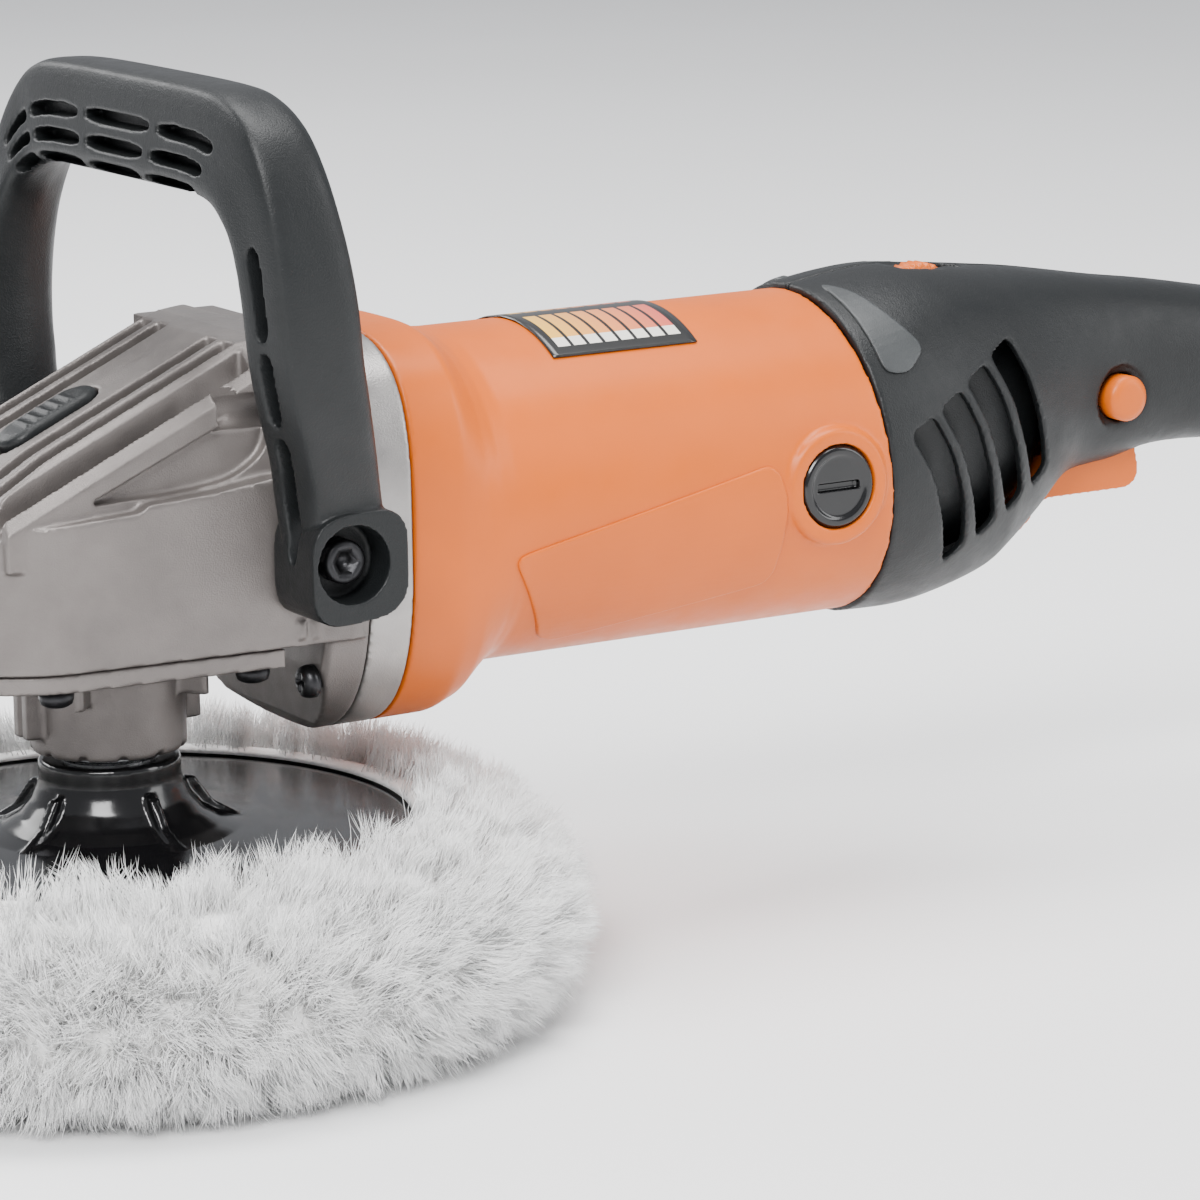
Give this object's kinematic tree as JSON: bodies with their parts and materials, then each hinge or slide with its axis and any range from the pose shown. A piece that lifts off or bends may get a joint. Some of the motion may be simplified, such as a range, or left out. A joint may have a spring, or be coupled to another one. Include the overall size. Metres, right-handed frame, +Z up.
{
  "type": "rotary polisher",
  "caption": "Corded rotary polisher: inline motor body, angled gear head, D-shaped front handle, trigger grip and a round wool polishing bonnet on a backing plate.",
  "frame": {"origin": "centre of the pad's working face, on the spindle axis", "axes": "+Z up along the spindle, away from the work; +X towards the rear handle; -Y the side of the lock-on button"},
  "size_m": [0.5105, 0.23, 0.224],
  "materials": {
    "cast_housing": "satin",
    "orange_plastic": "satin",
    "black_plastic": "matte",
    "gloss_black": "gloss",
    "steel": "satin",
    "black_screw": "satin",
    "laminated_iron": "satin",
    "copper": "satin",
    "brass": "satin",
    "carbon": "matte",
    "rubber": "matte",
    "wool": "matte",
    "foam": "matte",
    "label": "satin"
  },
  "bodies": {
    "casing": {"gear_housing": "cast_housing", "bearing_box": "cast_housing", "bearing_plate": "cast_housing", "motor_housing": "orange_plastic", "rear_handle_left": "black_plastic", "rear_handle_right": "black_plastic", "d_handle": "black_plastic", "fan_baffle": "black_plastic", "switch_body": "black_plastic", "speed_module": "black_plastic", "cord_clamp": "black_plastic", "brush_cap_left": "gloss_black", "brush_cap_right": "gloss_black", "spindle_lower_bearing": "steel", "bearing_retainer": "steel", "spindle_needle_bearing": "steel", "armature_front_bearing": "steel", "armature_rear_bearing": "steel", "spindle_lock_spring": "steel", "brush_spring_left": "steel", "brush_spring_right": "steel", "cover_screw_1": "black_screw", "cover_screw_2": "black_screw", "cover_screw_3": "black_screw", "cover_screw_4": "black_screw", "flange_screw_1": "black_screw", "flange_screw_2": "black_screw", "flange_screw_3": "black_screw", "flange_screw_4": "black_screw", "handle_screw_1": "black_screw", "handle_screw_2": "black_screw", "handle_screw_3": "black_screw", "handle_screw_4": "black_screw", "handle_bolt_left": "black_screw", "handle_bolt_right": "black_screw", "stator_core": "laminated_iron", "field_coil_upper": "copper", "field_coil_lower": "copper", "brush_holder_left": "brass", "brush_holder_right": "brass", "carbon_brush_left": "carbon", "carbon_brush_right": "carbon", "cord_bush": "rubber", "rating_label": "label"},
    "spindle": {"spindle": "steel", "crown_gear": "steel", "hub_insert": "steel", "backing_plate": "gloss_black", "foam_disc": "foam", "wool_bonnet": "wool"},
    "armature": {"armature_shaft": "steel", "pinion_gear": "steel", "cooling_fan": "black_plastic", "armature_core": "laminated_iron", "armature_windings": "copper", "commutator": "copper"},
    "trigger": {"trigger": "orange_plastic"},
    "lock_on_button": {"lock_on_button": "orange_plastic"},
    "speed_dial": {"speed_dial": "orange_plastic"},
    "spindle_lock": {"spindle_lock": "black_plastic"}
  },
  "joints": [
    {"name": "spindle_spin", "type": "hinge", "parent": "casing", "child": "spindle", "pos_m": [0, 0, 0.0745], "axis": [0, 0, 1], "continuous": true},
    {"name": "armature_spin", "type": "hinge", "parent": "casing", "child": "armature", "pos_m": [0.1, 0, 0.1145], "axis": [1, 0, 0], "continuous": true},
    {"name": "trigger_pull", "type": "hinge", "parent": "casing", "child": "trigger", "pos_m": [0.2615, 0, 0.1], "axis": [0, -1, 0], "range_deg": [0, 6], "stiffness_Nm_per_rad": 1.5, "springref_deg": -5.73},
    {"name": "lock_on_press", "type": "slide", "parent": "casing", "child": "lock_on_button", "axis": [0, 1, 0], "range_m": [0, 0.003], "stiffness_N_per_m": 400, "springref_m": -0.002},
    {"name": "speed_turn", "type": "hinge", "parent": "casing", "child": "speed_dial", "pos_m": [0.233, 0, 0.1486], "axis": [0, 1, 0], "range_deg": [0, 270]},
    {"name": "spindle_lock_press", "type": "slide", "parent": "casing", "child": "spindle_lock", "axis": [0, 0, -1], "range_m": [0, 0.0045], "stiffness_N_per_m": 500, "springref_m": -0.002, "deforming": ["spindle_lock_spring"]}
  ],
  "couplings": [
    {"joint": "armature_spin", "follows": "spindle_spin", "ratio": 3.8889}
  ]
}
